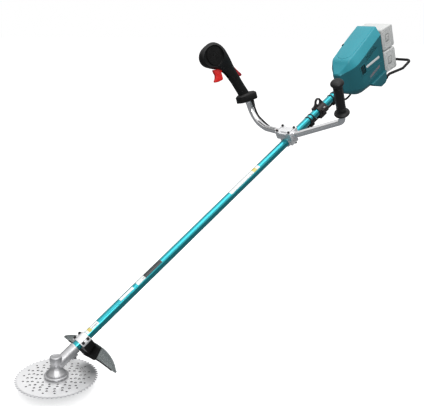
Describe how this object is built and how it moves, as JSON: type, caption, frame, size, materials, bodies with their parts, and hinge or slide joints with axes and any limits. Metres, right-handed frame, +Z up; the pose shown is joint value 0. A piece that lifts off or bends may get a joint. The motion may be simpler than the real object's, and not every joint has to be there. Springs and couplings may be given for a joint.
{
  "type": "brush cutter",
  "caption": "Battery brush cutter: saw blade on an angled gear head, straight pipe, U handlebar with trigger handle, harness eye, rear motor with sliding battery packs.",
  "frame": {"origin": "centre of the harness eye hole", "axes": "+X to the operator's left, -Y ahead towards the blade, +Z up along the blade axis; the pipe rises 31 degrees towards +Y"},
  "size_m": [0.5444, 1.6475, 0.9909],
  "materials": {
    "pipe_teal": "glossy metallic enamel",
    "cast_alloy": "satin die casting",
    "clamp_alloy": "bright satin",
    "blade_steel": "ground and lightly polished",
    "machined_steel": "turned",
    "bolt_black": "black oxide",
    "screw_zinc": "zinc plated",
    "black_plastic": "fine moulded grain",
    "hanger_black": "moulded, slightly worn",
    "panel_black": "smooth",
    "smoke_shield": "smoky translucent",
    "bar_chrome": "bright plated tube",
    "grip_rubber": "soft matt",
    "cable_black": "smooth sheath",
    "trigger_red": "moulded red",
    "lever_red": "moulded dark red",
    "hood_teal": "satin moulded shell",
    "housing_teal": "satin moulded shell",
    "rod_black": "powder coat",
    "battery_grey": "pale grey moulding",
    "latch_grey": "pale grey moulding",
    "stator_copper": "wound laminations",
    "board_green": "potted controller",
    "contact_brass": "plated"
  },
  "bodies": {
    "machine": {"gear_case": "cast_alloy", "gear_case_lock_screw": "bolt_black", "spindle_bearings": "machined_steel", "pinion_bearing": "machined_steel", "dust_cover": "machined_steel", "guard_shield": "smoke_shield", "guard_bracket": "black_plastic", "guard_clamp": "clamp_alloy", "guard_bolts": "bolt_black", "main_pipe": "pipe_teal", "shaft_bushes": "grip_rubber", "bar_clamp_saddle": "clamp_alloy", "bar_clamp_lower": "clamp_alloy", "bar_clamp_cap": "clamp_alloy", "bar_clamp_bolts": "bolt_black", "control_cable": "cable_black", "cable_clips": "black_plastic", "harness_hanger": "hanger_black", "hanger_lower_half": "hanger_black", "hanger_screws": "screw_zinc", "top_hood": "hood_teal", "left_housing": "housing_teal", "right_housing": "housing_teal", "rod_bushes": "grip_rubber", "intake_grilles": "black_plastic", "battery_guard_rod": "rod_black", "pipe_socket": "cast_alloy", "motor_bearings": "machined_steel", "motor_stator": "stator_copper", "motor_rear_bracket": "cast_alloy", "motor_controller": "board_green", "battery_mount": "black_plastic", "battery_terminals": "contact_brass", "housing_screws": "screw_zinc"},
    "cutter": {"spindle": "machined_steel", "driven_bevel_gear": "machined_steel", "blade_receiver_flange": "machined_steel", "saw_blade": "blade_steel", "clamp_washer": "machined_steel", "blade_nut": "machined_steel"},
    "drive_line": {"drive_shaft": "machined_steel", "bevel_pinion": "machined_steel", "motor_rotor": "machined_steel", "cooling_fan": "black_plastic"},
    "handlebar": {"handlebar": "bar_chrome", "left_grip": "grip_rubber", "handle_collar": "black_plastic", "control_panel": "panel_black", "handle_shell_inner": "black_plastic", "handle_shell_outer": "black_plastic", "handle_pins": "machined_steel", "trigger_switch": "black_plastic", "cable_boot": "grip_rubber"},
    "trigger": {"trigger": "trigger_red"},
    "lock_off_lever": {"lock_off_lever": "lever_red"},
    "power_button": {"power_button": "black_plastic"},
    "battery_upper": {"battery_upper": "battery_grey"},
    "battery_lower": {"battery_lower": "battery_grey"},
    "upper_latch": {"battery_upper_latch_button": "latch_grey"},
    "lower_latch": {"battery_lower_latch_button": "latch_grey"}
  },
  "joints": [
    {"name": "blade_spin", "type": "hinge", "parent": "machine", "child": "cutter", "pos_m": [0, -1.06081, -0.67123], "axis": [0, 0, 1], "continuous": true},
    {"name": "drive_spin", "type": "hinge", "parent": "machine", "child": "drive_line", "pos_m": [0, -1.06081, -0.67123], "axis": [0, 0.8572, 0.515], "continuous": true},
    {"name": "handlebar_tilt", "type": "hinge", "parent": "machine", "child": "handlebar", "pos_m": [0, -0.15412, -0.09494], "axis": [1, 0, 0], "range_deg": [-15, 15], "deforming": ["control_cable"]},
    {"name": "trigger_squeeze", "type": "hinge", "parent": "handlebar", "child": "trigger", "pos_m": [-0.24649, -0.23942, 0.11253], "axis": [0.9803, -0.1055, 0.1668], "range_deg": [0, 10], "stiffness_Nm_per_rad": 0.6, "springref_deg": -6.88},
    {"name": "lock_off_press", "type": "hinge", "parent": "handlebar", "child": "lock_off_lever", "pos_m": [-0.2425, -0.19886, 0.11477], "axis": [-0.9803, 0.1055, -0.1668], "range_deg": [0, 8], "stiffness_Nm_per_rad": 0.5, "springref_deg": -6.88},
    {"name": "power_button_press", "type": "slide", "parent": "handlebar", "child": "power_button", "axis": [-0.9803, 0.1055, -0.1668], "range_m": [0, 0.0015], "stiffness_N_per_m": 400, "springref_m": -0.0005},
    {"name": "battery_upper_slide", "type": "slide", "parent": "machine", "child": "battery_upper", "axis": [1, 0, 0], "range_m": [0, 0.1]},
    {"name": "battery_lower_slide", "type": "slide", "parent": "machine", "child": "battery_lower", "axis": [1, 0, 0], "range_m": [0, 0.1]},
    {"name": "upper_latch_press", "type": "slide", "parent": "battery_upper", "child": "upper_latch", "axis": [-1, 0, 0], "range_m": [0, 0.003], "stiffness_N_per_m": 500, "springref_m": -0.001},
    {"name": "lower_latch_press", "type": "slide", "parent": "battery_lower", "child": "lower_latch", "axis": [-1, 0, 0], "range_m": [0, 0.003], "stiffness_N_per_m": 500, "springref_m": -0.001}
  ],
  "couplings": [
    {"joint": "drive_spin", "follows": "blade_spin", "ratio": -1.3571}
  ]
}
